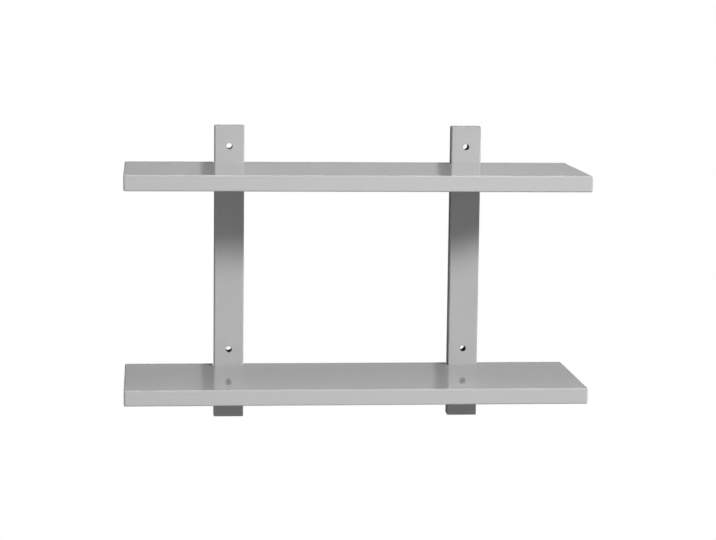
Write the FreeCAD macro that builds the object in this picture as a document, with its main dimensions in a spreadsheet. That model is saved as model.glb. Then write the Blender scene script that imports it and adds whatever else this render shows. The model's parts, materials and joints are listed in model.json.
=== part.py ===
import FreeCAD, Part
import os
import Sketcher

# Two-tier wall shelf: two boards, notched at the back over two uprights. Each of the four crossings
# is held by one connector screw from behind and two dowels.
# Millimetres, +Z up, +X to the right of a person who faces the shelf. The wall is the plane Y = 0
# and the shelf stands out from it along -Y. The origin is the middle of the four wall holes.

# Driving dimensions
SIZES = {
    # Boards
    "shelf_width": 600,
    "shelf_depth": 200,
    "board_thickness": 21,
    "board_corner_radius": 2.5,
    "board_edge_radius": 2,
    # Uprights
    "upright_height": 396,
    "upright_width": 40,
    "upright_thickness": 21,
    "upright_spacing": 320,
    "upright_rise": 50,
    "upright_drop": 49,
    "upright_edge_radius": 2,
    "upright_end_chamfer": 1,
    # Notches in the boards
    "notch_side_gap": 1,
    # Wall holes
    "wall_hole_diameter": 8,
    "wall_hole_height": 22.5,
    "wall_hole_rim": 0.5,
    # Connector screws
    "screw_length": 50,
    "screw_head_diameter": 10,
    "screw_head_recess": 0.3,
    "screw_shank_diameter": 7,
    "screw_core_diameter": 5,
    "screw_socket_width": 4,
    "screw_socket_depth": 3.5,
    "screw_clearance": 0.15,
    "screw_end_gap": 1,
    # Dowels
    "dowel_diameter": 6,
    "dowel_length": 30,
    "dowel_seat": 10,
    "dowel_inset": 8,
    "dowel_flute_depth": 0.4,
    "dowel_flute_width": 0.7,
    "dowel_clearance": 0.1,
    "dowel_end_gap": 0.5,
    # How far a cut runs past the face that it opens
    "cut_overrun": 5,
}
FLUTE_COUNT = 8
COUNTERSINK_ANGLE = 90
FULL_TURN_ANGLE = 360
# How much of a unit direction has to lie along Z for it to count as parallel
PARALLEL_SHARE = 0.999

# Sizes that follow from the driving dimensions
SHELF_PITCH = "(sizes.upright_height - sizes.upright_drop - sizes.board_thickness - sizes.upright_rise)"
BOARD_MIDDLE = "(sizes.board_thickness / 2)"
UPPER_UNDERSIDE = f"({SHELF_PITCH} / 2 - sizes.wall_hole_height - sizes.board_thickness)"
LOWER_UNDERSIDE = f"({UPPER_UNDERSIDE} - {SHELF_PITCH})"
SCREW_SEAT = "(sizes.upright_thickness - sizes.screw_head_recess)"
DOWEL_OFFSET = "(sizes.upright_width / 2 - sizes.dowel_inset)"
DOWEL_BORE = "(sizes.dowel_diameter + 2 * sizes.dowel_clearance)"
UNDERSIDES = {"upper": UPPER_UNDERSIDE, "lower": LOWER_UNDERSIDE}
SIDES = {"left": -1, "right": 1}
DOWEL_PLACES = {"outer": 1, "inner": -1}

# Kinds of drilled hole
BLIND_HOLE = {"DepthType": "Dimension", "DrillPoint": "Flat"}
COUNTERSUNK_HOLE = {
    "DepthType": "ThroughAll",
    "HoleCutType": "Countersink",
    "HoleCutCustomValues": True,
    "HoleCutCountersinkAngle": COUNTERSINK_ANGLE,
}

doc = FreeCAD.newDocument("two_tier_shelf")
sheet = doc.addObject("Spreadsheet::Sheet", "sizes")
for row, (alias, value) in enumerate(SIZES.items(), start=1):
    sheet.set(f"A{row}", alias)
    sheet.set(f"B{row}", str(value))
    sheet.setAlias(f"B{row}", alias)
doc.recompute()


# Helpers for sketches and features. A sketch knows its own horizontal and vertical axes as -1 and -2,
# the start and end of a line as points 1 and 2, the centre of a circle as point 3 and its origin as
# point 1 of the horizontal axis.
def measure(expression):
    """The present value of an expression of the sheet."""
    return float(sheet.evalExpression(expression))


def origin_plane(body, role):
    """One of a body's own origin planes, by its role."""
    return next(plane for plane in body.Origin.OriginFeatures if plane.Role == role)


def new_body(label, x="0", y="0", z="0"):
    """A body for one sub-part, with its place bound to the sheet."""
    body = doc.addObject("PartDesign::Body", label)
    body.Label = label
    for axis, expression in zip("xyz", (x, y, z)):
        body.setExpression(f"Placement.Base.{axis}", expression)
    return body


def new_sketch(body, name, role, offset="0"):
    """A sketch on one of the body's origin planes, moved along the plane's normal."""
    sketch = body.newObject("Sketcher::SketchObject", name)
    sketch.AttachmentSupport = [(origin_plane(body, role), "")]
    sketch.MapMode = "FlatFace"
    sketch.setExpression("AttachmentOffset.Base.z", offset)
    return sketch


def bind_size(sketch, name, expression, kind, *places):
    """Add one named dimension to a sketch and bind it to the sheet."""
    index = sketch.addConstraint(Sketcher.Constraint(kind, *places, measure(expression)))
    sketch.renameConstraint(index, name)
    sketch.setExpression(f"Constraints.{name}", expression)


def bind_point(sketch, name, geometry, point, x, y):
    """Tie a point of a sketch to the sheet, or to an axis where its coordinate is zero."""
    for kind, axis, expression in (("DistanceX", -2, x), ("DistanceY", -1, y)):
        if expression == "0":
            sketch.addConstraint(Sketcher.Constraint("PointOnObject", geometry, point, axis))
        else:
            bind_size(sketch, f"{name}_{kind}", expression, kind, -1, 1, geometry, point)


def draw_polygon(sketch, name, corners):
    """A closed outline of straight lines through corners given as pairs of expressions."""
    points = [FreeCAD.Vector(measure(x), measure(y), 0) for x, y in corners]
    ends = points[1:] + points[:1]
    lines = [sketch.addGeometry(Part.LineSegment(start, end), False) for start, end in zip(points, ends)]
    for line, following in zip(lines, lines[1:] + lines[:1]):
        sketch.addConstraint(Sketcher.Constraint("Coincident", line, 2, following, 1))
    for number, (line, (x, y)) in enumerate(zip(lines, corners), start=1):
        bind_point(sketch, f"{name}_{number}", line, 1, x, y)


def draw_circle(sketch, name, x, y, diameter):
    """A circle with its centre and diameter bound to the sheet."""
    centre = FreeCAD.Vector(measure(x), measure(y), 0)
    normal = FreeCAD.Vector(0, 0, 1)
    circle = sketch.addGeometry(Part.Circle(centre, normal, measure(diameter) / 2), False)
    bind_point(sketch, name, circle, 3, x, y)
    bind_size(sketch, f"{name}_diameter", diameter, "Diameter", circle)


def set_up(feature, settings, bound):
    """Give a feature its fixed settings and those bound to the sheet, and bring it up to date."""
    for key, value in settings.items():
        setattr(feature, key, value)
    for key, expression in bound.items():
        feature.setExpression(key, expression)
    doc.recompute()


def add_feature(body, kind, name, settings, bound):
    """A feature at the body's tip."""
    feature = body.newObject(f"PartDesign::{kind}", name)
    body.Tip = feature
    set_up(feature, settings, bound)
    return feature


def check_cut(body, feature, volume_before):
    """Stop where a feature that should take material away leaves the volume as it was."""
    if feature.Shape.Volume >= volume_before:
        raise RuntimeError(f"{body.Label}: {feature.Label} cuts nothing")


def add_cut(body, kind, name, settings, bound):
    """A pocket, or a pattern of cuts, at the body's tip."""
    volume_before = body.Shape.Volume
    feature = add_feature(body, kind, name, settings, bound)
    check_cut(body, feature, volume_before)
    return feature


def add_hole(body, name, sketch, diameter, settings, bound):
    """Round holes at the circles of a sketch, set up once the base that they read is up to date."""
    volume_before = body.Shape.Volume
    hole = add_feature(body, "Hole", name, {"Profile": sketch}, {})
    set_up(hole, settings, {"Diameter": diameter, **bound})
    check_cut(body, hole, volume_before)
    return hole


def edge_names(shape, wanted):
    """The names of those edges of a shape that a test picks."""
    return [f"Edge{number}" for number, edge in enumerate(shape.Edges, start=1) if wanted(edge)]


def is_upright_edge(edge):
    """Whether an edge runs along Z."""
    return abs(edge.tangentAt(edge.FirstParameter).z) > PARALLEL_SHARE


def level_faces(shape):
    """The names of the flat faces of a shape that look straight up or down."""
    return [
        f"Face{number}"
        for number, face in enumerate(shape.Faces, start=1)
        if abs(face.normalAt(0, 0).z) > PARALLEL_SHARE
    ]


def add_dowel_bores(body, centre, height, settings, depth):
    """The two blind bores of a crossing, on the plane where the upright meets the board."""
    places = new_sketch(body, "dowel_places", "XZ_Plane", "sizes.upright_thickness")
    for place, away in DOWEL_PLACES.items():
        draw_circle(places, place, f"{centre} + {away} * {DOWEL_OFFSET}", height, DOWEL_BORE)
    return add_hole(body, "dowel_bores", places, DOWEL_BORE, settings, {"Depth": depth})


# Shelf boards
def build_board(label, underside):
    """A board with a rounded outline, two notches at the back and the bores in their seats.

    Its own frame has X = 0 at mid width, Y = 0 at the back edge and Z = 0 at the underside.
    """
    body = new_body(label, z=underside)
    half_width = "sizes.shelf_width / 2"
    front = "-sizes.shelf_depth"
    outline = new_sketch(body, "board_outline", "XY_Plane")
    draw_polygon(outline, "board", [
        (f"-{half_width}", front),
        (half_width, front),
        (half_width, "0"),
        (f"-{half_width}", "0"),
    ])
    panel = add_feature(body, "Pad", "panel", {"Profile": outline}, {"Length": "sizes.board_thickness"})
    corner_edges = edge_names(panel.Shape, is_upright_edge)
    corners = add_feature(body, "Fillet", "corners", {"Base": (panel, corner_edges)},
                          {"Radius": "sizes.board_corner_radius"})
    add_feature(body, "Fillet", "round_over", {"Base": (corners, level_faces(corners.Shape))},
                {"Radius": "sizes.board_edge_radius"})

    # Notch for an upright, open at the back edge, and its twin on the left
    centre = "sizes.upright_spacing / 2"
    reach = "(sizes.upright_width / 2 + sizes.notch_side_gap)"
    notch_plan = new_sketch(body, "notch_plan", "XY_Plane")
    draw_polygon(notch_plan, "notch", [
        (f"{centre} - {reach}", "-sizes.upright_thickness"),
        (f"{centre} + {reach}", "-sizes.upright_thickness"),
        (f"{centre} + {reach}", "sizes.cut_overrun"),
        (f"{centre} - {reach}", "sizes.cut_overrun"),
    ])
    notch = add_cut(body, "Pocket", "notch",
                    {"Profile": notch_plan, "Type": "ThroughAll", "Reversed": True}, {})
    middle = (origin_plane(body, "YZ_Plane"), [""])
    notches = add_cut(body, "Mirrored", "notches", {"Originals": [notch], "MirrorPlane": middle}, {})

    # The notch's inner corners are as round as the upright that sits in them
    seat_front = measure("-(sizes.upright_thickness + sizes.shelf_depth) / 2")
    seat_back = measure("-sizes.upright_thickness / 2")

    def is_seat_corner(edge):
        """Whether an edge runs along Z about as deep as the notch's seat."""
        return is_upright_edge(edge) and seat_front < edge.CenterOfMass.y < seat_back

    seat_corners = edge_names(notches.Shape, is_seat_corner)
    add_feature(body, "Fillet", "seat_corners", {"Base": (notches, seat_corners)},
                {"Radius": "sizes.upright_edge_radius"})

    # Pilot bore and dowel bores in the notch seat, and their twins on the left
    pilot_places = new_sketch(body, "pilot_places", "XZ_Plane", "sizes.upright_thickness")
    pilot_bore = "sizes.screw_core_diameter + 2 * sizes.screw_clearance"
    draw_circle(pilot_places, "pilot", centre, BOARD_MIDDLE, pilot_bore)
    forward = {**BLIND_HOLE, "Reversed": True}
    pilot = add_hole(body, "pilot_bore", pilot_places, pilot_bore, forward,
                     {"Depth": f"sizes.screw_length - {SCREW_SEAT} + sizes.screw_end_gap"})
    dowels = add_dowel_bores(body, centre, BOARD_MIDDLE, forward,
                             "sizes.dowel_length - sizes.dowel_seat + sizes.dowel_end_gap")
    add_cut(body, "Mirrored", "left_bores", {"Originals": [pilot, dowels], "MirrorPlane": middle}, {})
    return body


# Uprights
def build_upright(label, side):
    """A bar with rounded edges, its wall holes and the bores for both boards' fasteners.

    Its own frame has X = 0 on the centre line, Y = 0 at the back and Z = 0 at the lower end.
    """
    lower_end = f"{LOWER_UNDERSIDE} - sizes.upright_drop"
    body = new_body(label, x=f"{side} * sizes.upright_spacing / 2", z=lower_end)
    half_width = "sizes.upright_width / 2"
    elevation = new_sketch(body, "upright_elevation", "XZ_Plane")
    draw_polygon(elevation, "upright", [
        (f"-{half_width}", "0"),
        (half_width, "0"),
        (half_width, "sizes.upright_height"),
        (f"-{half_width}", "sizes.upright_height"),
    ])
    bar = add_feature(body, "Pad", "bar", {"Profile": elevation}, {"Length": "sizes.upright_thickness"})
    long_edges = edge_names(bar.Shape, is_upright_edge)
    rounded = add_feature(body, "Fillet", "long_edges", {"Base": (bar, long_edges)},
                          {"Radius": "sizes.upright_edge_radius"})
    add_feature(body, "Chamfer", "eased_ends", {"Base": (rounded, level_faces(rounded.Shape))},
                {"Size": "sizes.upright_end_chamfer"})

    # Wall hole above the lower board, drilled from the front with an eased rim
    wall_places = new_sketch(body, "wall_places", "XZ_Plane", "sizes.upright_thickness")
    hole_height = "sizes.upright_drop + sizes.board_thickness + sizes.wall_hole_height"
    draw_circle(wall_places, "wall", "0", hole_height, "sizes.wall_hole_diameter")
    wall_hole = add_hole(body, "wall_hole", wall_places, "sizes.wall_hole_diameter", COUNTERSUNK_HOLE,
                         {"HoleCutDiameter": "sizes.wall_hole_diameter + 2 * sizes.wall_hole_rim"})

    # Countersunk clearance hole for the connector screw, from the back
    screw_places = new_sketch(body, "screw_places", "XZ_Plane")
    joint_height = f"sizes.upright_drop + {BOARD_MIDDLE}"
    clearance_hole = "sizes.screw_shank_diameter + 2 * sizes.screw_clearance"
    head_room = "(sizes.screw_head_recess + sizes.screw_clearance)"
    draw_circle(screw_places, "screw", "0", joint_height, clearance_hole)
    screw_hole = add_hole(body, "screw_hole", screw_places, clearance_hole,
                          {**COUNTERSUNK_HOLE, "Reversed": True},
                          {"HoleCutDiameter": f"sizes.screw_head_diameter + 2 * {head_room}"})

    # Dowel bores from the front, then the same set of holes at the upper board
    dowels = add_dowel_bores(body, "0", joint_height, BLIND_HOLE, "sizes.dowel_seat + sizes.dowel_end_gap")
    repeated = {
        "Originals": [wall_hole, screw_hole, dowels],
        "Direction": (elevation, ["V_Axis"]),
        "Occurrences": len(UNDERSIDES),
    }
    add_cut(body, "LinearPattern", "upper_holes", repeated, {"Length": SHELF_PITCH})
    return body


# Connector screws
def build_screw(label, side, underside):
    """A countersunk connector screw with a hexagon socket, its head at its own Y = 0."""
    body = new_body(
        label,
        x=f"{side} * sizes.upright_spacing / 2",
        y="-sizes.screw_head_recess",
        z=f"{underside} + {BOARD_MIDDLE}",
    )
    head = "sizes.screw_head_diameter / 2"
    shank = "sizes.screw_shank_diameter / 2"
    core = "sizes.screw_core_diameter / 2"
    profile = new_sketch(body, "screw_profile", "XY_Plane")
    draw_polygon(profile, "screw", [
        ("0", "0"),
        (head, "0"),
        (shank, f"-({head} - {shank})"),
        (shank, f"-{SCREW_SEAT}"),
        (core, f"-{SCREW_SEAT}"),
        (core, "-sizes.screw_length"),
        ("0", "-sizes.screw_length"),
    ])
    turned = {"Profile": profile, "ReferenceAxis": (profile, ["V_Axis"]), "Angle": FULL_TURN_ANGLE}
    add_feature(body, "Revolution", "turned_screw", turned, {})

    # Hexagon socket in the head
    half_flat = "sizes.screw_socket_width / 2"
    corner = "sizes.screw_socket_width / sqrt(3)"
    socket_outline = new_sketch(body, "socket_outline", "XZ_Plane")
    draw_polygon(socket_outline, "socket", [
        (half_flat, f"-{corner} / 2"),
        (half_flat, f"{corner} / 2"),
        ("0", corner),
        (f"-{half_flat}", f"{corner} / 2"),
        (f"-{half_flat}", f"-{corner} / 2"),
        ("0", f"-{corner}"),
    ])
    add_cut(body, "Pocket", "socket", {"Profile": socket_outline, "Reversed": True},
            {"Length": "sizes.screw_socket_depth"})
    return body


# Dowels
def build_dowel(label, x, underside):
    """A fluted dowel, part of it in the upright and the rest in the board."""
    body = new_body(
        label,
        x=x,
        y="-(sizes.upright_thickness - sizes.dowel_seat)",
        z=f"{underside} + {BOARD_MIDDLE}",
    )
    section = new_sketch(body, "dowel_section", "XZ_Plane")
    draw_circle(section, "dowel", "0", "0", "sizes.dowel_diameter")
    add_feature(body, "Pad", "rod", {"Profile": section}, {"Length": "sizes.dowel_length"})

    # One groove along the rod, as wide as stated where it meets the surface, repeated round the axis
    radius = "sizes.dowel_diameter / 2"
    groove = new_sketch(body, "groove_section", "XZ_Plane")
    draw_polygon(groove, "groove", [
        ("0", f"{radius} - sizes.dowel_flute_depth"),
        ("sizes.dowel_flute_width", f"{radius} + sizes.dowel_flute_depth"),
        ("-sizes.dowel_flute_width", f"{radius} + sizes.dowel_flute_depth"),
    ])
    flute = add_cut(body, "Pocket", "flute",
                    {"Profile": groove, "Type": "ThroughAll", "Reversed": True}, {})
    repeated = {
        "Originals": [flute],
        "Axis": (groove, ["N_Axis"]),
        "Angle": FULL_TURN_ANGLE,
        "Occurrences": FLUTE_COUNT,
    }
    add_cut(body, "PolarPattern", "flutes", repeated, {})
    return body


# The whole shelf
sub_parts = [build_board(f"{level}_shelf_board", underside) for level, underside in UNDERSIDES.items()]
sub_parts += [build_upright(f"{side}_upright", sign) for side, sign in SIDES.items()]
for level, underside in UNDERSIDES.items():
    for side, sign in SIDES.items():
        sub_parts.append(build_screw(f"{level}_{side}_screw", sign, underside))
        for place, away in DOWEL_PLACES.items():
            x = f"{sign} * (sizes.upright_spacing / 2 + {away} * {DOWEL_OFFSET})"
            sub_parts.append(build_dowel(f"{level}_{side}_{place}_dowel", x, underside))

# Nothing is written unless every object is sound
doc.recompute()
for item in doc.Objects:
    if {"Invalid", "Error"} & set(item.State):
        raise RuntimeError(f"{item.Label} failed: {item.State}")
for body in sub_parts:
    if body.Shape.isNull() or not body.Shape.isValid():
        raise RuntimeError(f"{body.Label} has no valid shape")

os.makedirs("parts", exist_ok=True)
for body in sub_parts:
    body.Shape.exportStep(f"parts/{body.Label}.step")
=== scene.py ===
"""Looks of a two-tier wall shelf: two grey lacquered boards, notched at the back over two uprights.

Lengths are in metres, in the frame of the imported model: +X to the right, +Z up, the wall at Y = 0 and
the shelf standing out from it along -Y.
"""

import json
import logging
import math
from abc import ABC, abstractmethod
from collections.abc import Iterable, Sequence
from dataclasses import dataclass
from enum import Enum

import bmesh
import bpy
from mathutils import Euler, Matrix, Vector


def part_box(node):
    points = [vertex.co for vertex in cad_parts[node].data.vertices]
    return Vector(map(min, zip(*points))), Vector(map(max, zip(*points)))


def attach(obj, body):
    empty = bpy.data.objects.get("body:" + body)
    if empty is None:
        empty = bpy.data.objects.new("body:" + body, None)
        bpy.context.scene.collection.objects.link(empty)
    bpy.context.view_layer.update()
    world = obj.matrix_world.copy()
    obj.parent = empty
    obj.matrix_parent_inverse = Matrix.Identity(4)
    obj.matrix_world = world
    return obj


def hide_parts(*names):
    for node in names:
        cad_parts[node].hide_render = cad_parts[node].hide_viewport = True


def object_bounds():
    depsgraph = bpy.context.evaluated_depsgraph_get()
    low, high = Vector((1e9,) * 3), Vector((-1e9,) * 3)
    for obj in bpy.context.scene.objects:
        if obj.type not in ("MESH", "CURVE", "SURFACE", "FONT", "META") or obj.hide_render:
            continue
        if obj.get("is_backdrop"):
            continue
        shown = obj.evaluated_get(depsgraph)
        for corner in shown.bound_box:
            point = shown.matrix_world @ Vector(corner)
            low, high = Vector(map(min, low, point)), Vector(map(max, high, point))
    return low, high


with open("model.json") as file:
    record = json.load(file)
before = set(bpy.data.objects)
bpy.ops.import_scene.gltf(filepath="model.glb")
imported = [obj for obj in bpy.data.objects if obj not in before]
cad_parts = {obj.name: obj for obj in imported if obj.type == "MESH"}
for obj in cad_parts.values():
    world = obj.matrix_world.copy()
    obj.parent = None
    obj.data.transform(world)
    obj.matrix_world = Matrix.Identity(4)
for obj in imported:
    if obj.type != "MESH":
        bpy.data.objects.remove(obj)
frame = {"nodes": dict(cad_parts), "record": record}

Tree = bpy.types.NodeTree
Socket = bpy.types.NodeSocket
# A node tree's inputs by name
Sockets = dict[str, Socket]
# What a shader's inputs, by name, are set to or linked from
ShaderInputs = dict[str, object]

LOG = logging.getLogger("two_tier_shelf")
MM = 0.001
FULL_TURN = 2 * math.pi
QUARTER_TURN = math.pi / 2
HEXAGON_SIDES = 6
# A thread's ridge is a triangle in section
CREST_SIDES = 3
# A dowel's line has two stations at each end, for the eased rim
ROD_STATIONS = 4
# The scale of a wood's pattern along the grain, which draws it out
GRAIN_STRETCH = 0.03
# Where a mix node has its sockets for colours
MIX_SHARE = 0
MIX_FIRST = 6
MIX_SECOND = 7
MIX_RESULT = 2
BODY = "root"
# Edges that turn by more than this stay crisp, and gentler ones are shaded as one curve
CRISP_ANGLE = math.radians(38)
# How far a drill starts outside the face that it opens
DRILL_OVERRUN = 2 * MM
# How far in front of a face a rim starts, so that no ring of the drill lies in the face
RIM_LEAD = 0.01 * MM


class Level(Enum):
    """The two boards."""

    UPPER = "upper"
    LOWER = "lower"


class Side(Enum):
    """The two uprights, as seen by a person who faces the shelf."""

    LEFT = "left"
    RIGHT = "right"


class Grain(Enum):
    """Which way the wood under a finish runs, as the stretch of its pattern along X, Y and Z."""

    ALONG_X = (GRAIN_STRETCH, 1.0, 1.0)
    ALONG_Y = (1.0, GRAIN_STRETCH, 1.0)
    ALONG_Z = (1.0, 1.0, GRAIN_STRETCH)


@dataclass(frozen=True)
class Box:
    """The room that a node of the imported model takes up."""

    low: Vector
    high: Vector

    @classmethod
    def of(cls, node: str) -> "Box":
        """Read a node's box from the frame."""
        return cls(*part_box(node))

    @property
    def centre(self) -> Vector:
        """The middle of the box."""
        return (self.low + self.high) / 2

    @property
    def size(self) -> Vector:
        """The lengths of the box along X, Y and Z."""
        return self.high - self.low


def fastener_nodes(ending: str, level: Level | None = None) -> list[str]:
    """Find the nodes of one kind of fastener by their names' ending, for one board or both."""
    start = level.value if level else ""
    return sorted(name for name in frame["nodes"] if name.endswith(ending) and name.startswith(start))


def linear(colour: str) -> tuple[float, float, float, float]:
    """Turn an sRGB colour such as #BDBDBD into linear red, green, blue and a full alpha.

    Args:
        colour: The colour as a hash sign and six hexadecimal digits.

    Returns:
        Four numbers from 0 to 1.
    """
    encoded = [int(colour[start : start + 2], 16) / 255 for start in (1, 3, 5)]
    decoded = [c / 12.92 if c <= 0.04045 else ((c + 0.055) / 1.055) ** 2.4 for c in encoded]
    return (*decoded, 1.0)


def add_node(tree: Tree, kind: str, inputs: dict | None = None, **settings: object) -> bpy.types.Node:
    """Add a node to a tree with its settings and links.

    Args:
        tree: The tree that gets the node.
        kind: The node's type.
        inputs: For an input's name or number, the value to set or the output socket to link.
        settings: The node's own properties.

    Returns:
        The new node.
    """
    node = tree.nodes.new(kind)
    for name, value in settings.items():
        setattr(node, name, value)
    for key, value in (inputs or {}).items():
        if isinstance(value, Socket):
            tree.links.new(value, node.inputs[key])
        else:
            node.inputs[key].default_value = value
    return node


def result(tree: Tree, kind: str, inputs: dict | None = None, **settings: object) -> Socket:
    """Add a node to a tree as add_node does, and give its first output."""
    return add_node(tree, kind, inputs, **settings).outputs[0]


def number(tree: Tree, operation: str, *values: object) -> Socket:
    """Add a calculation with numbers or output sockets to a tree, and give its result."""
    return result(tree, "ShaderNodeMath", dict(enumerate(values)), operation=operation)


def blend(tree: Tree, share: Socket, first: object, second: object) -> Socket:
    """Mix two colours, given as values or output sockets, by the second one's share."""
    inputs = {MIX_SHARE: share, MIX_FIRST: first, MIX_SECOND: second}
    return add_node(tree, "ShaderNodeMix", inputs, data_type="RGBA").outputs[MIX_RESULT]


def spread_out(tree: Tree, share: Socket, low: float, high: float) -> Socket:
    """Turn a share from 0 to 1 into a value between low and high."""
    return result(tree, "ShaderNodeMapRange", {"Value": share, "To Min": low, "To Max": high})


def noise(tree: Tree, place: Socket, size: float, detail: float = 2.0) -> Socket:
    """Add noise from 0 to 1 with blots of a size, and with so many finer layers of detail."""
    return result(tree, "ShaderNodeTexNoise", {"Vector": place, "Scale": 1 / size, "Detail": detail})


def empty_tree(owner: bpy.types.Material | bpy.types.World) -> Tree:
    """Give a material or a world a node tree with nothing in it.

    Args:
        owner: The material or the world.

    Returns:
        The tree.
    """
    owner.use_nodes = True
    owner.node_tree.nodes.clear()
    return owner.node_tree


def lifted(tree: Tree, mesh: Socket, height: object) -> Socket:
    """Move a tree's mesh along Z, by a number or an output socket."""
    up = result(tree, "ShaderNodeCombineXYZ", {"Z": height})
    return result(tree, "GeometryNodeTransform", {"Geometry": mesh, "Translation": up})


def add_piece(name: str, mesh: bpy.types.Mesh) -> bpy.types.Object:
    """Put a mesh into the scene as an object at the origin.

    Args:
        name: The object's name.
        mesh: The mesh.

    Returns:
        The object.
    """
    piece = bpy.data.objects.new(name, mesh)
    bpy.context.scene.collection.objects.link(piece)
    return piece


def mesh_from(shape: bmesh.types.BMesh, name: str) -> bpy.types.Mesh:
    """Turn a finished bmesh into a mesh and free it.

    Args:
        shape: The bmesh.
        name: The mesh's name.

    Returns:
        The mesh.
    """
    mesh = bpy.data.meshes.new(name)
    shape.to_mesh(mesh)
    shape.free()
    return mesh


def settle(piece: bpy.types.Object) -> None:
    """Turn a piece and its modifiers into a plain mesh.

    Args:
        piece: The piece, which keeps its name.
    """
    bpy.context.view_layer.update()
    depsgraph = bpy.context.evaluated_depsgraph_get()
    evaluated = piece.evaluated_get(depsgraph)
    mesh = bpy.data.meshes.new_from_object(evaluated, preserve_all_data_layers=True, depsgraph=depsgraph)
    mesh.name = piece.name
    piece.modifiers.clear()
    piece.data = mesh


def arc(centre: Sequence[float], radius: float, start: float, turn: float, steps: int) -> list[Vector]:
    """Draw an arc in plan.

    Args:
        centre: The X and Y of the arc's centre.
        radius: The arc's radius.
        start: The angle of its first point from +X, in radians.
        turn: The angle that it covers, positive for counter-clockwise.
        steps: How many chords stand for it.

    Returns:
        The points of the arc, both ends included.
    """
    x, y = centre
    angles = [start + turn * step / steps for step in range(steps + 1)]
    return [Vector((x + radius * math.cos(a), y + radius * math.sin(a), 0)) for a in angles]


def loft(rings: Sequence[Sequence[Vector]]) -> bmesh.types.BMesh:
    """Join rings of equally many points into a closed solid.

    Args:
        rings: The rings in order, each counter-clockwise about the direction in which they follow.

    Returns:
        The solid, with a flat face at either end.
    """
    shape = bmesh.new()
    layers = [[shape.verts.new(point) for point in ring] for ring in rings]
    for lower, upper in zip(layers, layers[1:]):
        for quad in zip(lower, lower[1:] + lower[:1], upper[1:] + upper[:1], upper):
            shape.faces.new(quad)
    shape.faces.new(reversed(layers[0]))
    shape.faces.new(layers[-1])
    return shape


@dataclass(frozen=True)
class RoundOver:
    """A quarter-round edge between a flat end and the sides of a solid."""

    radius: float
    steps: int

    def stations(self) -> list[tuple[float, float]]:
        """List how far each ring of the edge lies from the flat end and inside the sides."""
        angles = [QUARTER_TURN * step / self.steps for step in range(self.steps + 1)]
        return [(self.radius * (1 - math.cos(a)), self.radius * (1 - math.sin(a))) for a in angles]

    def inset(self, depth: float) -> float:
        """How far inside the sides the edge is at a depth below the flat end."""
        left = max(self.radius - depth, 0.0)
        return self.radius - math.sqrt(self.radius**2 - left**2)


@dataclass(frozen=True)
class Bore:
    """A drilled hole along Y."""

    x: float
    z: float
    # Y and radius of each ring, in the order of rising Y
    profile: tuple[tuple[float, float], ...]
    steps: int = 48

    def solid(self) -> bmesh.types.BMesh:
        """Make the solid that the drill takes away."""
        angles = [FULL_TURN * step / self.steps for step in range(self.steps)]
        return loft([
            [Vector((self.x + r * math.sin(a), y, self.z + r * math.cos(a))) for a in angles]
            for y, r in self.profile
        ])


def drill(piece: bpy.types.Object, bores: Iterable[Bore]) -> None:
    """Cut bores into a piece.

    Args:
        piece: The solid to cut, which becomes a plain mesh.
        bores: The holes, clear of each other.
    """
    cutters = bmesh.new()
    for bore in bores:
        part = mesh_from(bore.solid(), "bore")
        cutters.from_mesh(part)
        bpy.data.meshes.remove(part)
    cutter = add_piece("bores", mesh_from(cutters, "bores"))
    cut = piece.modifiers.new("bores", "BOOLEAN")
    cut.operation = "DIFFERENCE"
    cut.solver = "EXACT"
    cut.object = cutter
    settle(piece)
    bpy.data.objects.remove(cutter)


def smooth_curves(piece: bpy.types.Object) -> None:
    """Shade a piece's rounded edges as curves while its flat faces stay flat.

    Args:
        piece: The piece, a plain mesh before and after.
    """
    piece.data.shade_smooth()
    piece.data.set_sharp_from_angle(angle=CRISP_ANGLE)
    weighted = piece.modifiers.new("flat_faces", "WEIGHTED_NORMAL")
    weighted.keep_sharp = True
    settle(piece)


class Finish(ABC):
    """A finish: what a surface is made of and how it was made."""

    name: str
    slot: str

    @abstractmethod
    def surface(self, tree: Tree) -> ShaderInputs:
        """Add the finish's pattern nodes and give the inputs of its shader."""

    def material(self) -> bpy.types.Material:
        """Build the finish as a material, once.

        Returns:
            The material, the same one each time.
        """
        known = bpy.data.materials.get(self.name)
        if known:
            return known
        material = bpy.data.materials.new(self.name)
        tree = empty_tree(material)
        shader = result(tree, "ShaderNodeBsdfPrincipled", self.surface(tree))
        add_node(tree, "ShaderNodeOutputMaterial", {"Surface": shader})
        return material


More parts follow.
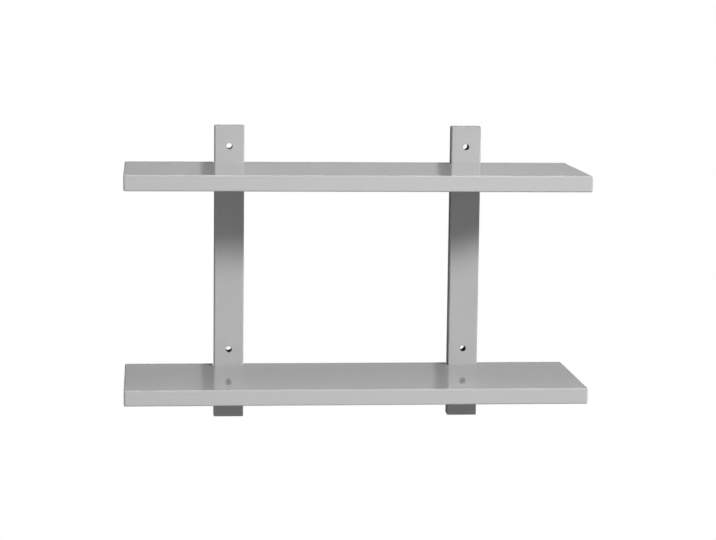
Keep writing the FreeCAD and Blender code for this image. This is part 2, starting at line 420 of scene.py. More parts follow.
@dataclass(frozen=True)
class WallHoles:
    """The four holes for the wall screws, which lie alike on all sides of the origin.

    The lacquer hardly reaches their drilled wood, which is matt; its colour is painted much darker than
    raw wood, as painted shade in the holes.
    """

    x: float
    z: float
    radius: float
    bare_wood_and_painted_shade: str = "#5C5956"
    # The bare wood and its painted shade reach this far past the bore onto its softened rim
    bare_and_shaded_rim: float = 0.1 * MM

    @classmethod
    def of_mount(cls) -> "WallHoles":
        """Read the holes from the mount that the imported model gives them.

        Returns:
            The holes.
        """
        mount = next(m for m in frame["record"]["mounts"] if m["kind"] == "bolt_pattern")
        size = mount["dims"]
        return cls(size["spacing_x_mm"] * MM / 2, size["spacing_y_mm"] * MM / 2, size["hole_r_mm"] * MM)

    def inside(self, tree: Tree, place: Socket) -> Socket:
        """Tell the inside of the holes from the rest of a piece.

        Args:
            tree: The material's node tree.
            place: The socket of the place on the piece.

        Returns:
            The socket of 1 inside the holes and 0 elsewhere.
        """
        folded = result(tree, "ShaderNodeVectorMath", {0: place}, operation="ABSOLUTE")
        # The holes run along Y, so only X and Z count
        across = result(tree, "ShaderNodeVectorMath", {0: folded, 1: (1, 0, 1)}, operation="MULTIPLY")
        distance = add_node(tree, "ShaderNodeVectorMath", {
            0: across,
            1: (self.x, 0, self.z),
        }, operation="DISTANCE")
        return number(tree, "LESS_THAN", distance.outputs["Value"], self.radius + self.bare_and_shaded_rim)

    def bared_and_shaded(self, tree: Tree, place: Socket, lacquer: ShaderInputs) -> ShaderInputs:
        """Show matt bare wood inside the holes, painted dark as painted shade.

        Args:
            tree: The material's node tree.
            place: The socket of the place on the piece.
            lacquer: The inputs of the lacquer's shader.

        Returns:
            The inputs of a shader that shows the lacquer outside the holes only.
        """
        inside = self.inside(tree, place)
        return {
            **lacquer,
            # Painted shade: the holes' bare wood is coloured far darker than raw wood, for the shade
            # inside them
            "Base Color": blend(tree, inside, lacquer["Base Color"], linear(self.bare_wood_and_painted_shade)),
            "Roughness": number(tree, "MAXIMUM", lacquer["Roughness"], inside),
        }


@dataclass(frozen=True)
class SprayedLacquer(Finish):
    """Light grey lacquer sprayed on sealed wood.

    A smooth skin with clear reflections near grazing. It shows the ghost of the wood's grain as faint
    streaks along the piece, and the fine orange peel of a sprayed film.
    """

    grain: Grain
    slot: str = "grey_lacquer"
    thin_film: str = "#BABABA"
    full_film: str = "#C0C0C0"
    gloss_roughness: float = 0.02
    dull_roughness: float = 0.04
    grain_width: float = 2.6 * MM
    grain_detail: float = 3.0
    grain_height: float = 0.002 * MM
    peel_size: float = 1.6 * MM
    peel_height: float = 0.0012 * MM
    film_patch: float = 70 * MM
    holes: WallHoles | None = None

    @property
    def name(self) -> str:
        """The material's name."""
        return f"sprayed_grey_lacquer_{self.grain.name.lower()}"

    def surface(self, tree: Tree) -> ShaderInputs:
        """Add the film's streaks, patches and peel.

        Args:
            tree: The material's node tree.

        Returns:
            The inputs of the finish's shader.
        """
        place = add_node(tree, "ShaderNodeTexCoord").outputs["Object"]
        along = result(tree, "ShaderNodeMapping", {"Vector": place, "Scale": self.grain.value})
        streaks = noise(tree, along, self.grain_width, self.grain_detail)
        patches = noise(tree, place, self.film_patch)
        peel = noise(tree, place, self.peel_size)
        ridges = result(tree, "ShaderNodeBump", {"Height": streaks, "Distance": self.grain_height})
        skin = result(tree, "ShaderNodeBump", {
            "Height": peel,
            "Distance": self.peel_height,
            "Normal": ridges,
        })
        lacquer = {
            "Base Color": blend(tree, streaks, linear(self.thin_film), linear(self.full_film)),
            "Roughness": spread_out(tree, patches, self.gloss_roughness, self.dull_roughness),
            "Normal": skin,
        }
        return self.holes.bared_and_shaded(tree, place, lacquer) if self.holes else lacquer


@dataclass(frozen=True)
class ZincPlatedSteel(Finish):
    """Cold-headed steel with a bright zinc plating: a cool, softly mottled metal."""

    name: str = "bright_zinc_plated_steel"
    slot: str = "zinc_steel"
    shade: str = "#B4B7B8"
    bright: str = "#D2D4D4"
    polished: float = 0.24
    dulled: float = 0.42
    mottle: float = 1.2 * MM

    def surface(self, tree: Tree) -> ShaderInputs:
        """Add the plating's mottle.

        Args:
            tree: The material's node tree.

        Returns:
            The inputs of the finish's shader.
        """
        place = add_node(tree, "ShaderNodeTexCoord").outputs["Object"]
        mottle = noise(tree, place, self.mottle)
        return {
            "Base Color": blend(tree, mottle, linear(self.shade), linear(self.bright)),
            "Roughness": spread_out(tree, mottle, self.polished, self.dulled),
            "Metallic": 1.0,
        }


@dataclass(frozen=True)
class TurnedBeech(Finish):
    """Raw beech rod, turned and fluted: pale and dry, with fine darker pores along the grain."""

    name: str = "turned_beech"
    slot: str = "beech"
    pale: str = "#DDBE94"
    pore: str = "#B98F60"
    dryness: float = 0.62
    pore_width: float = 0.5 * MM
    pore_detail: float = 4.0
    pore_depth: float = 0.03 * MM

    def surface(self, tree: Tree) -> ShaderInputs:
        """Add the pores, drawn out along the rod.

        Args:
            tree: The material's node tree.

        Returns:
            The inputs of the finish's shader.
        """
        place = add_node(tree, "ShaderNodeTexCoord").outputs["Object"]
        along = result(tree, "ShaderNodeMapping", {"Vector": place, "Scale": Grain.ALONG_Y.value})
        pores = noise(tree, along, self.pore_width, self.pore_detail)
        return {
            "Base Color": blend(tree, pores, linear(self.pore), linear(self.pale)),
            "Roughness": self.dryness,
            "Normal": result(tree, "ShaderNodeBump", {"Height": pores, "Distance": self.pore_depth}),
        }


def enter(piece: bpy.types.Object, finish: Finish, nodes: Sequence[str]) -> None:
    """Make a finished piece stand for its nodes, and report it.

    Args:
        piece: The piece, a plain mesh.
        finish: The finish that it wears.
        nodes: The nodes that it stands for.
    """
    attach(piece, BODY)
    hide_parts(*nodes)
    piece.data.calc_loop_triangles()
    LOG.info("%s: %d triangles, %s", piece.name, len(piece.data.loop_triangles), finish.name)


@dataclass
class Fit:
    """What fasteners and bores share: the clearances between them and the radii of the screws."""

    screw: float = 0.15 * MM
    screw_end: float = 1 * MM
    dowel: float = 0.1 * MM
    dowel_end: float = 0.5 * MM
    shank_radius: float = 3.5 * MM
    core_radius: float = 2.5 * MM


@dataclass
class Board:
    """A shelf board: a lacquered panel with round edges, notched at the back for the uprights."""

    level: Level
    finish: Finish
    fit: Fit
    corner_radius: float = 2.5 * MM
    corner_steps: int = 8
    edge: RoundOver = RoundOver(2 * MM, 8)
    notch_gap: float = 1 * MM
    notch_edge: RoundOver = RoundOver(0.4 * MM, 4)
    mouth_radius: float = 0.6 * MM
    seat_radius: float = 2 * MM
    notch_steps: int = 4

    @property
    def node(self) -> str:
        """The board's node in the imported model."""
        return f"{self.level.value}_shelf_board"

    def notch(self, upright: Box, back: float, ease: float) -> list[Vector]:
        """Draw a notch from right to left.

        Args:
            upright: The bar that sits in the notch.
            back: The Y of the board's back edge at this height.
            ease: How far the notch's own edge is opened at this height.

        Returns:
            The points of the notch, from its right mouth to its left one.
        """
        left = upright.low.x - self.notch_gap - ease
        right = upright.high.x + self.notch_gap + ease
        seat = upright.low.y - ease
        mouth, inner, steps = self.mouth_radius, self.seat_radius, self.notch_steps
        return [
            *arc((right + mouth, back - mouth), mouth, QUARTER_TURN, QUARTER_TURN, steps),
            *arc((right - inner, seat + inner), inner, 0, -QUARTER_TURN, steps),
            *arc((left + inner, seat + inner), inner, -QUARTER_TURN, -QUARTER_TURN, steps),
            *arc((left - mouth, back - mouth), mouth, 0, QUARTER_TURN, steps),
        ]

    def outline(self, height: float, inset: float, ease: float) -> list[Vector]:
        """Draw the board's outline at one height, counter-clockwise from above.

        Args:
            height: The Z of the outline.
            inset: How far the outer edge lies inside the panel's sides.
            ease: How far the notches' edges are opened.

        Returns:
            The points of the outline.
        """
        panel = Box.of(self.node)
        low, high = panel.low, panel.high
        radius = self.corner_radius
        left, right = low.x + radius, high.x - radius
        front, back = low.y + radius, high.y - radius

        def corner(x: float, y: float, start: float) -> list[Vector]:
            """Draw one outer corner."""
            return arc((x, y), radius - inset, start, QUARTER_TURN, self.corner_steps)

        points = corner(left, front, 2 * QUARTER_TURN)
        points += corner(right, front, 3 * QUARTER_TURN)
        points += corner(right, back, 0)
        for side in (Side.RIGHT, Side.LEFT):
            points += self.notch(Box.of(f"{side.value}_upright"), high.y - inset, ease)
        points += corner(left, back, QUARTER_TURN)
        return [Vector((point.x, point.y, height)) for point in points]

    def bores(self) -> list[Bore]:
        """List the blind bores in the notches' seats.

        Returns:
            The bores of the screws, then those of the dowels.
        """
        seat = Box.of(f"{Side.LEFT.value}_upright").low.y + DRILL_OVERRUN
        found = []
        for node in fastener_nodes("_screw", self.level):
            screw = Box.of(node)
            radius = self.fit.core_radius + self.fit.screw
            end = screw.low.y - self.fit.screw_end
            found.append(Bore(screw.centre.x, screw.centre.z, ((end, radius), (seat, radius))))
        for node in fastener_nodes("_dowel", self.level):
            dowel = Box.of(node)
            radius = dowel.size.x / 2 + self.fit.dowel
            end = dowel.low.y - self.fit.dowel_end
            found.append(Bore(dowel.centre.x, dowel.centre.z, ((end, radius), (seat, radius))))
        return found

    def build(self) -> bpy.types.Object:
        """Make the board and dress it.

        Returns:
            The board.
        """
        panel = Box.of(self.node)
        stations = [(depth, inset, self.notch_edge.inset(depth)) for depth, inset in self.edge.stations()]
        under = [self.outline(panel.low.z + depth, *edges) for depth, *edges in stations]
        over = [self.outline(panel.high.z - depth, *edges) for depth, *edges in reversed(stations)]
        name = f"{self.level.value}_board"
        piece = add_piece(name, mesh_from(loft(under + over), name))
        drill(piece, self.bores())
        smooth_curves(piece)
        piece.data.materials.append(self.finish.material())
        enter(piece, self.finish, [self.node])
        return piece


@dataclass
class Upright:
    """An upright: a lacquered bar with round edges, two wall holes and the bores of its joints."""

    side: Side
    finish: Finish
    fit: Fit
    corner_radius: float = 2 * MM
    corner_steps: int = 6
    end: RoundOver = RoundOver(1 * MM, 5)
    hole_rim: RoundOver = RoundOver(0.5 * MM, 4)

    @property
    def node(self) -> str:
        """The upright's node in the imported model."""
        return f"{self.side.value}_upright"

    def outline(self, height: float, inset: float) -> list[Vector]:
        """Draw the bar's outline at one height, counter-clockwise from above.

        Args:
            height: The Z of the outline.
            inset: How far it lies inside the bar's sides.

        Returns:
            The points of the outline.
        """
        bar = Box.of(self.node)
        radius = self.corner_radius
        left, right = bar.low.x + radius, bar.high.x - radius
        front, back = bar.low.y + radius, bar.high.y - radius
        centres = ((left, front), (right, front), (right, back), (left, back))
        points = []
        for quarter, centre in enumerate(centres, start=2):
            points += arc(centre, radius - inset, quarter * QUARTER_TURN, QUARTER_TURN, self.corner_steps)
        return [Vector((point.x, point.y, height)) for point in points]

    def wall_holes(self) -> list[Bore]:
        """List the two plain holes for the wall screws, with a softened rim at the front.

        Returns:
            The holes, the lower one first.
        """
        bar = Box.of(self.node)
        holes = WallHoles.of_mount()
        front = bar.low.y
        rim = [
            (front - RIM_LEAD + depth, holes.radius + inset)
            for depth, inset in self.hole_rim.stations()
        ]
        mouth = holes.radius + self.hole_rim.radius
        profile = ((front - DRILL_OVERRUN, mouth), *rim, (bar.high.y + DRILL_OVERRUN, holes.radius))
        return [Bore(bar.centre.x, z, profile) for z in (-holes.z, holes.z)]

    def joint_bores(self) -> list[Bore]:
        """List the countersunk screw holes from the back and the dowel bores from the front.

        Returns:
            The bores of the screws, then those of the dowels.
        """
        bar = Box.of(self.node)
        found = []
        for node in fastener_nodes(f"_{self.side.value}_screw"):
            screw = Box.of(node)
            shank = self.fit.shank_radius + self.fit.screw
            sunk = screw.size.x / 2 + self.fit.screw + (bar.high.y - screw.high.y)
            profile = (
                (bar.low.y - DRILL_OVERRUN, shank),
                (bar.high.y - (sunk - shank), shank),
                (bar.high.y + DRILL_OVERRUN, sunk + DRILL_OVERRUN),
            )
            found.append(Bore(screw.centre.x, screw.centre.z, profile))
        for node in fastener_nodes("_dowel"):
            if self.side.value not in node:
                continue
            dowel = Box.of(node)
            radius = dowel.size.x / 2 + self.fit.dowel
            end = dowel.high.y + self.fit.dowel_end
            profile = ((bar.low.y - DRILL_OVERRUN, radius), (end, radius))
            found.append(Bore(dowel.centre.x, dowel.centre.z, profile))
        return found

    def build(self) -> bpy.types.Object:
        """Make the upright and dress it.

        Returns:
            The upright.
        """
        bar = Box.of(self.node)
        stations = self.end.stations()
        lower = [self.outline(bar.low.z + depth, inset) for depth, inset in stations]
        upper = [self.outline(bar.high.z - depth, inset) for depth, inset in reversed(stations)]
        name = f"{self.side.value}_bar"
        piece = add_piece(name, mesh_from(loft(lower + upper), name))
        drill(piece, [*self.wall_holes(), *self.joint_bores()])
        smooth_curves(piece)
        piece.data.materials.append(self.finish.material())
        enter(piece, self.finish, [self.node])
        return piece


class RepeatedFastener(ABC):
    """Fasteners of one kind, drawn once by a node tree and set at each of their places."""

    name: str
    ending: str
    finish: Finish

    @abstractmethod
    def sizes(self) -> dict[str, float | int]:
        """Give the tree's inputs by name."""

    @abstractmethod
    def shape(self, tree: Tree, size: Sockets) -> Socket:
        """Draw one fastener that hangs down from the origin, with its end that faces the wall on top."""

    def places(self) -> list[Vector]:
        """List where the fasteners' ends that face the wall are."""
        boxes = [Box.of(node) for node in fastener_nodes(self.ending)]
        return [Vector((box.centre.x, box.high.y, box.centre.z)) for box in boxes]

    def tree(self) -> Tree:
        """Build the node tree, with one named input for each size.

        Returns:
            The tree, which turns points into fasteners.
        """
        tree = bpy.data.node_groups.new(self.name, "GeometryNodeTree")
        tree.interface.new_socket("Places", in_out="INPUT", socket_type="NodeSocketGeometry")
        for label, value in self.sizes().items():
            kind = "NodeSocketInt" if isinstance(value, int) else "NodeSocketFloat"
            tree.interface.new_socket(label, in_out="INPUT", socket_type=kind)
        tree.interface.new_socket("Fasteners", in_out="OUTPUT", socket_type="NodeSocketGeometry")
        entry = add_node(tree, "NodeGroupInput")
        size = {label: entry.outputs[label] for label in self.sizes()}
        set_out = result(tree, "GeometryNodeInstanceOnPoints", {
            "Points": entry.outputs["Places"],
            "Instance": self.shape(tree, size),
            "Rotation": Euler((-QUARTER_TURN, 0, 0)),
        })
        real = result(tree, "GeometryNodeRealizeInstances", {"Geometry": set_out})
        dressed = result(tree, "GeometryNodeSetMaterial", {
            "Geometry": real,
            "Material": self.finish.material(),
        })
        add_node(tree, "NodeGroupOutput", {"Fasteners": dressed})
        return tree

    def build(self) -> bpy.types.Object:
        """Make all fasteners of this kind as one piece.

        Returns:
            The piece.
        """
        points = bpy.data.meshes.new(self.name)
        points.from_pydata(self.places(), [], [])
        piece = add_piece(self.name, points)
        tree = self.tree()
        modifier = piece.modifiers.new(self.name, "NODES")
        modifier.node_group = tree
        sizes = self.sizes()
        for socket in tree.interface.items_tree:
            if socket.name in sizes:
                modifier[socket.identifier] = sizes[socket.name]
        settle(piece)
        piece.data.shade_smooth()
        piece.data.set_sharp_from_angle(angle=CRISP_ANGLE)
        enter(piece, self.finish, fastener_nodes(self.ending))
        return piece


@dataclass
class ConnectorScrews(RepeatedFastener):
    """Countersunk connector screws with a hexagon socket, a plain shank and a coarse thread."""

    finish: Finish
    fit: Fit
    name: str = "connector_screws"
    ending: str = "_screw"
    head_land: float = 0.25 * MM
    socket_width: float = 4 * MM
    socket_depth: float = 3.5 * MM
    thread_pitch: float = 3 * MM
    tip_length: float = 4 * MM
    tip_radius: float = 1.2 * MM
    sides: int = 48

    def sizes(self) -> dict[str, float | int]:
        """Give the screw's sizes, the main ones from its node.

        Returns:
            The sizes by name.
        """
        screw = Box.of(fastener_nodes(self.ending)[0])
        seat = Box.of(f"{Side.LEFT.value}_upright").low.y
        return {
            "Head Radius": screw.size.x / 2,
            "Head Land": self.head_land,
            "Shank Radius": self.fit.shank_radius,
            "Shank Length": screw.high.y - seat,
            "Core Radius": self.fit.core_radius,
            "Length": screw.size.y,
            "Tip Length": self.tip_length,
            "Tip Radius": self.tip_radius,
            # From the width across flats to the circle through the corners
            "Socket Radius": self.socket_width / math.sqrt(3),
            "Socket Depth": self.socket_depth,
            "Thread Pitch": self.thread_pitch,
            "Sides": self.sides,
        }

    def heights(self, tree: Tree, size: Sockets) -> Sockets:
        """Work out the Z of each step of the screw, with its head's face at zero.

        Args:
            tree: The tree that gets the nodes.
            size: The sockets of the tree's sizes.

        Returns:
            The sockets of the heights by name.
        """
        end = number(tree, "MULTIPLY", size["Length"], -1.0)
        return {
            "land": number(tree, "MULTIPLY", size["Head Land"], -1.0),
            "neck": number(tree, "SUBTRACT", size["Shank Radius"], size["Head Radius"]),
            "shoulder": number(tree, "MULTIPLY", size["Shank Length"], -1.0),
            "tip": number(tree, "ADD", end, size["Tip Length"]),
            "end": end,
        }

    def body(self, tree: Tree, size: Sockets) -> Socket:
        """Turn the head, the shank, the core and the tip as one solid.

        Args:
            tree: The tree that gets the nodes.
            size: The sockets of the tree's sizes.

        Returns:
            The socket of the solid.
        """
        level = self.heights(tree, size)
        rim = number(tree, "SUBTRACT", size["Head Radius"], size["Head Land"])
        shank, core = size["Shank Radius"], size["Core Radius"]
        # The radius and the Z at the upper end of each length of the screw, then those at its lower end
        lengths = (
            (rim, 0.0, rim, level["land"]),
            (rim, level["land"], shank, level["neck"]),
            (shank, level["neck"], shank, level["shoulder"]),
            (core, level["shoulder"], core, level["tip"]),
            (core, level["tip"], size["Tip Radius"], level["end"]),
        )
        turned = add_node(tree, "GeometryNodeMeshBoolean", operation="UNION", solver="EXACT")
        for upper_radius, upper, lower_radius, lower in lengths:
            cone = result(tree, "GeometryNodeMeshCone", {
                "Vertices": size["Sides"],
                "Radius Top": upper_radius,
                "Radius Bottom": lower_radius,
                "Depth": number(tree, "SUBTRACT", upper, lower),
            })
            tree.links.new(lifted(tree, cone, lower), turned.inputs["Mesh 2"])
        return turned.outputs["Mesh"]

    def socketed(self, tree: Tree, size: Sockets, body: Socket) -> Socket:
        """Press the hexagon socket into the head.

        Args:
            tree: The tree that gets the nodes.
            size: The sockets of the tree's sizes.
            body: The socket of the turned screw.

        Returns:
            The socket of the screw with its hexagon.
        """
        # The punch reaches as far above the head's face as the land is high
        reach = number(tree, "ADD", size["Socket Depth"], size["Head Land"])
        punch = result(tree, "GeometryNodeMeshCylinder", {
            "Vertices": HEXAGON_SIDES,
            "Radius": size["Socket Radius"],
            "Depth": reach,
        }, fill_type="NGON")
        ends = number(tree, "SUBTRACT", size["Head Land"], size["Socket Depth"])
        middle = number(tree, "MULTIPLY", ends, 0.5)
        return result(tree, "GeometryNodeMeshBoolean", {
            "Mesh 1": body,
            "Mesh 2": lifted(tree, punch, middle),
        }, operation="DIFFERENCE", solver="EXACT")

    def thread(self, tree: Tree, size: Sockets) -> Socket:
        """Wind the thread's ridge around the core.

        Args:
            tree: The tree that gets the nodes.
            size: The sockets of the tree's sizes.

        Returns:
            The socket of the ridge.
        """
        level = self.heights(tree, size)
        room = number(tree, "SUBTRACT", level["shoulder"], level["tip"])
        run = number(tree, "SUBTRACT", room, size["Thread Pitch"])
        helix = result(tree, "GeometryNodeCurveSpiral", {
            "Resolution": size["Sides"],
            "Rotations": number(tree, "DIVIDE", run, size["Thread Pitch"]),
            "Start Radius": size["Core Radius"],
            "End Radius": size["Core Radius"],
            "Height": run,
        })
        upright = result(tree, "GeometryNodeSetCurveNormal", {"Curve": helix}, mode="Z_UP")
        crest = result(tree, "GeometryNodeCurvePrimitiveCircle", {
            "Resolution": CREST_SIDES,
            "Radius": number(tree, "SUBTRACT", size["Shank Radius"], size["Core Radius"]),
        })
        ridge = result(tree, "GeometryNodeCurveToMesh", {
            "Curve": upright,
            "Profile Curve": crest,
            "Fill Caps": True,
        })
        return lifted(tree, ridge, level["tip"])

    def shape(self, tree: Tree, size: Sockets) -> Socket:
        """Draw the screw hanging down from its head.

        Args:
            tree: The tree that gets the nodes.
            size: The sockets of the tree's sizes.

        Returns:
            The socket of the finished screw.
        """
        whole = add_node(tree, "GeometryNodeJoinGeometry")
        for part in (self.socketed(tree, size, self.body(tree, size)), self.thread(tree, size)):
            tree.links.new(part, whole.inputs["Geometry"])
        return whole.outputs["Geometry"]


@dataclass
class Dowels(RepeatedFastener):
    """Fluted dowels with eased ends."""

    finish: Finish
    name: str = "fluted_dowels"
    ending: str = "_dowel"
    flutes: int = 8
    flute_depth: float = 0.4 * MM
    ease: float = 0.8 * MM
    points_per_flute: int = 8
    flute_sharpness: float = 3.0

    def sizes(self) -> dict[str, float | int]:
        """Give the dowel's sizes, the main ones from its node.

        Returns:
            The sizes by name.
        """
        dowel = Box.of(fastener_nodes(self.ending)[0])
        return {
            "Radius": dowel.size.x / 2,
            "Length": dowel.size.y,
            "Ease": self.ease,
            "Flutes": self.flutes,
            "Flute Depth": self.flute_depth,
            "Flute Sharpness": self.flute_sharpness,
            "Points": self.flutes * self.points_per_flute,
        }

    def shape(self, tree: Tree, size: Sockets) -> Socket:
        """Draw the dowel hanging down from its upper end.

        Args:
            tree: The tree that gets the nodes.
            size: The sockets of the tree's sizes.

        Returns:
            The socket of the finished dowel.
        """
        along = result(tree, "GeometryNodeSplineParameter")
        # The fluted section: a circle drawn in where the cosine of the flutes' angle is high
        angle = number(tree, "MULTIPLY", number(tree, "MULTIPLY", along, size["Flutes"]), FULL_TURN)
        wave = number(tree, "MAXIMUM", number(tree, "COSINE", angle), 0.0)
        valley = number(tree, "POWER", wave, size["Flute Sharpness"])
        depth_share = number(tree, "DIVIDE", size["Flute Depth"], size["Radius"])
        drawn_in = number(tree, "MULTIPLY", valley, depth_share)
        circle = result(tree, "GeometryNodeCurvePrimitiveCircle", {
            "Resolution": size["Points"],
            "Radius": size["Radius"],
        })
        fluted_place = result(tree, "ShaderNodeVectorMath", {
            0: result(tree, "GeometryNodeInputPosition"),
            "Scale": number(tree, "SUBTRACT", 1.0, drawn_in),
        }, operation="SCALE")
        section = result(tree, "GeometryNodeSetPosition", {"Geometry": circle, "Position": fluted_place})
        # The rod's line, whose inner stations move to where the eased rims start
        depth = number(tree, "MULTIPLY", size["Length"], -1.0)
        bottom = result(tree, "ShaderNodeCombineXYZ", {"Z": depth})
        line = result(tree, "GeometryNodeCurvePrimitiveLine", {"Start": bottom, "End": (0, 0, 0)})
        stations = result(tree, "GeometryNodeResampleCurve", {"Curve": line, "Count": ROD_STATIONS})
        ends = result(tree, "GeometryNodeCurveEndpointSelection")
        upper_half = number(tree, "GREATER_THAN", along, 0.5)
        straight = number(tree, "MULTIPLY_ADD", size["Ease"], -2.0, size["Length"])
        lower_station = number(tree, "SUBTRACT", size["Ease"], size["Length"])
        height = number(tree, "MULTIPLY_ADD", upper_half, straight, lower_station)
        rod = result(tree, "GeometryNodeSetPosition", {
            "Geometry": stations,
            "Selection": result(tree, "FunctionNodeBooleanMath", {0: ends}, operation="NOT"),
            "Position": result(tree, "ShaderNodeCombineXYZ", {"Z": height}),
        })
        narrowed = number(tree, "MULTIPLY", ends, depth_share)
        return result(tree, "GeometryNodeCurveToMesh", {
            "Curve": rod,
            "Profile Curve": section,
            "Scale": number(tree, "SUBTRACT", 1.0, narrowed),
            "Fill Caps": True,
        })


@dataclass(frozen=True)
class Softbox:
    """A round lamp with a soft face, placed and aimed from the middle of the shelf."""

    name: str
    # From the shelf towards the lamp
    direction: tuple[float, float, float]
    distance: float
    width: float
    watts: float
    # The full angle that the grid on its face lets out
    spread: float = math.pi
    # The point that it faces, from the middle of the shelf
    aim: tuple[float, float, float] = (0.0, 0.0, 0.0)
    # Whether it shows in the lacquer's gloss, where the photograph has no lamp
    mirrored: bool = True

    def build(self, middle: Vector) -> None:
        """Hang the lamp and aim it.

        Args:
            middle: The middle of the shelf.
        """
        lamp = bpy.data.lights.new(self.name, "AREA")
        lamp.shape = "DISK"
        lamp.size = self.width
        lamp.energy = self.watts
        lamp.spread = self.spread
        holder = bpy.data.objects.new(self.name, lamp)
        holder.visible_camera = False
        holder.visible_glossy = self.mirrored
        bpy.context.scene.collection.objects.link(holder)
        holder.location = middle + Vector(self.direction).normalized() * self.distance
        away = holder.location - middle - Vector(self.aim)
        holder.rotation_euler = away.to_track_quat("Z", "Y").to_euler()


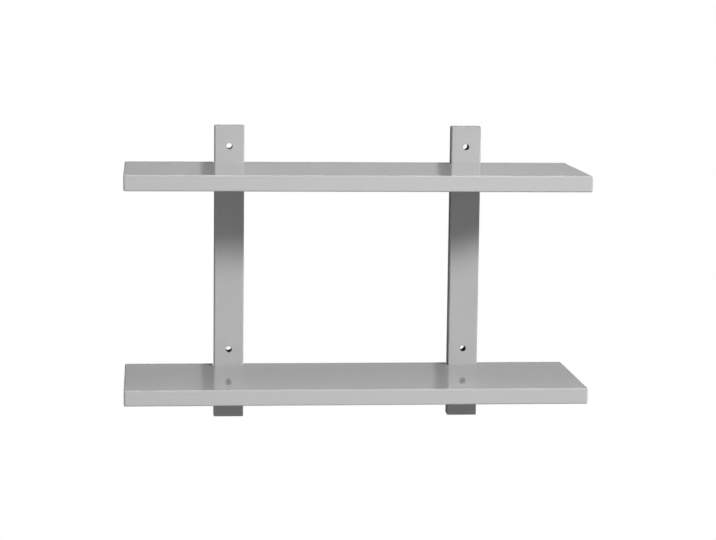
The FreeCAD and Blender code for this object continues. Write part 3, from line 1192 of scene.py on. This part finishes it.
@dataclass(frozen=True)
class Studio:
    """The room around the shelf: a wall behind it, a floor below, lamps and a camera."""

    # Far enough off to light both boards alike, and gridded so that the ends fall off
    key: Softbox = Softbox(
        "key_softbox",
        direction=(0.80, -1.0, 0.605),
        distance=6.0,
        width=1.5,
        watts=10.9,
        spread=math.radians(28),
        aim=(0.04, 0.0, 0.1),
        mirrored=False,
    )
    # Lights the upper board from above, which shades the back of the lower one
    overhead: Softbox = Softbox(
        "overhead_softbox",
        direction=(0.0, -0.3, 1.0),
        distance=2.2,
        width=0.8,
        watts=7,
        mirrored=False,
    )
    # Lights only what faces the wall and the floor, so that the back can be seen
    back: Softbox = Softbox(
        "back_softbox",
        direction=(0.15, 1.0, -0.25),
        distance=2.5,
        width=1.0,
        watts=30,
    )
    ambient: str = "#8F8F8F"
    white: str = "#FFFFFF"
    wall_paint: str = "#A6A6A6"
    floor_paint: str = "#E4E4E4"
    wall_gap: float = 0.5 * MM
    # The wall ends soon beside the shelf, so that from the side the boards don't mirror it
    wall_reach: float = 0.2
    wall_rise: float = 2.6
    floor_drop: float = 1.2
    floor_reach: float = 25.0
    # The rest of it shows the floor's own paint and the shelf's shadow
    floor_white_share: float = 0.97
    # The camera stands left of the shelf's middle and above it, and looks down and to the right
    camera_place: tuple[float, float, float] = (-0.2718, -3.0879, 0.3806)
    camera_yaw: float = math.radians(5.34)
    camera_pitch: float = math.radians(7.585)
    camera_roll: float = math.radians(0.659)
    focal_pixels: float = 2291
    picture_width: int = 716

    def seen(self, tree: Tree) -> Socket:
        """Tell what the eye sees, straight or in a reflection, from light on its way.

        Args:
            tree: The node tree of a surface or of the world.

        Returns:
            The socket of 1 for what is seen and 0 for the rest.
        """
        path = add_node(tree, "ShaderNodeLightPath").outputs
        mirrored = number(tree, "MAXIMUM", path["Is Glossy Ray"], path["Is Transmission Ray"])
        return number(tree, "MAXIMUM", path["Is Camera Ray"], mirrored)

    def surface(
        self,
        name: str,
        corners: Sequence[tuple[float, float, float]],
        paint: str,
        white_share: float = 0.0,
    ) -> bpy.types.Object:
        """Set up a flat matt surface that isn't part of the shelf.

        Args:
            name: The surface's name.
            corners: Its corners, counter-clockwise from the side that is seen.
            paint: Its colour.
            white_share: How much of it the eye sees as plain white.

        Returns:
            The surface.
        """
        mesh = bpy.data.meshes.new(name)
        mesh.from_pydata(corners, [], [range(len(corners))])
        material = bpy.data.materials.new(f"matt_paint_{name}")
        tree = empty_tree(material)
        both = result(tree, "ShaderNodeMixShader", {
            0: number(tree, "MULTIPLY", self.seen(tree), white_share),
            1: result(tree, "ShaderNodeBsdfDiffuse", {"Color": linear(paint)}),
            2: result(tree, "ShaderNodeEmission", {"Color": linear(self.white)}),
        })
        add_node(tree, "ShaderNodeOutputMaterial", {"Surface": both})
        mesh.materials.append(material)
        sheet = add_piece(name, mesh)
        sheet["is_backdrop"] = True
        return sheet

    def build_room(self, low: Vector, high: Vector) -> None:
        """Set up the wall that the shelf hangs on and the floor below it.

        Args:
            low: The lowest corner of the shelf's box.
            high: The highest corner of the shelf's box.
        """
        reach = self.wall_reach
        back = high.y + self.wall_gap
        floor = low.z - self.floor_drop
        top = high.z + self.wall_rise
        wall = self.surface("wall", [
            (low.x - reach, back, floor),
            (high.x + reach, back, floor),
            (high.x + reach, back, top),
            (low.x - reach, back, top),
        ], self.wall_paint)
        # The picture is cut out on white, so the wall shows in the lacquer's reflections only
        wall.visible_camera = False
        wall.visible_shadow = False
        self.surface("floor", [
            (-self.floor_reach, back - self.floor_reach, floor),
            (self.floor_reach, back - self.floor_reach, floor),
            (self.floor_reach, back, floor),
            (-self.floor_reach, back, floor),
        ], self.floor_paint, self.floor_white_share)

    def build_world(self) -> None:
        """Fill the room with soft light, and show white to the eye and in reflections."""
        world = bpy.data.worlds.new("studio")
        bpy.context.scene.world = world
        tree = empty_tree(world)
        either = result(tree, "ShaderNodeMixShader", {
            0: self.seen(tree),
            1: result(tree, "ShaderNodeBackground", {"Color": linear(self.ambient)}),
            2: result(tree, "ShaderNodeBackground", {"Color": linear(self.white)}),
        })
        add_node(tree, "ShaderNodeOutputWorld", {"Surface": either})

    def build_camera(self) -> None:
        """Set up the camera where the photograph was taken from."""
        camera = bpy.data.cameras.new("camera")
        camera.lens = self.focal_pixels / self.picture_width * camera.sensor_width
        holder = bpy.data.objects.new("camera", camera)
        bpy.context.scene.collection.objects.link(holder)
        holder.matrix_world = (
            Matrix.Translation(self.camera_place)
            @ Matrix.Rotation(-self.camera_yaw, 4, "Z")
            @ Matrix.Rotation(QUARTER_TURN - self.camera_pitch, 4, "X")
            @ Matrix.Rotation(self.camera_roll, 4, "Z")
        )
        bpy.context.scene.camera = holder

    def build(self, low: Vector, high: Vector) -> None:
        """Set up everything around the shelf.

        Args:
            low: The lowest corner of the shelf's box.
            high: The highest corner of the shelf's box.
        """
        self.build_room(low, high)
        self.build_world()
        for lamp in (self.key, self.overhead, self.back):
            lamp.build((low + high) / 2)
        self.build_camera()
        bpy.context.scene.view_settings.view_transform = "Standard"


def main() -> None:
    """Build the shelf's pieces in order, then the studio."""
    logging.basicConfig(level=logging.INFO)
    cad_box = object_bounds()
    fit = Fit()
    for level in Level:
        Board(level, SprayedLacquer(Grain.ALONG_X), fit).build()
    # The uprights wear the boards' lacquer in a darker copy: painted shade for where they stand between
    # and behind the boards
    shaded_bar_lacquer = SprayedLacquer(
        Grain.ALONG_Z,
        thin_film="#ADADAD",
        full_film="#B3B3B3",
        holes=WallHoles.of_mount(),
    )
    for side in Side:
        Upright(side, shaded_bar_lacquer, fit).build()
    ConnectorScrews(ZincPlatedSteel(), fit).build()
    Dowels(TurnedBeech()).build()
    Studio().build(*cad_box)


if __name__ == "__main__":
    main()
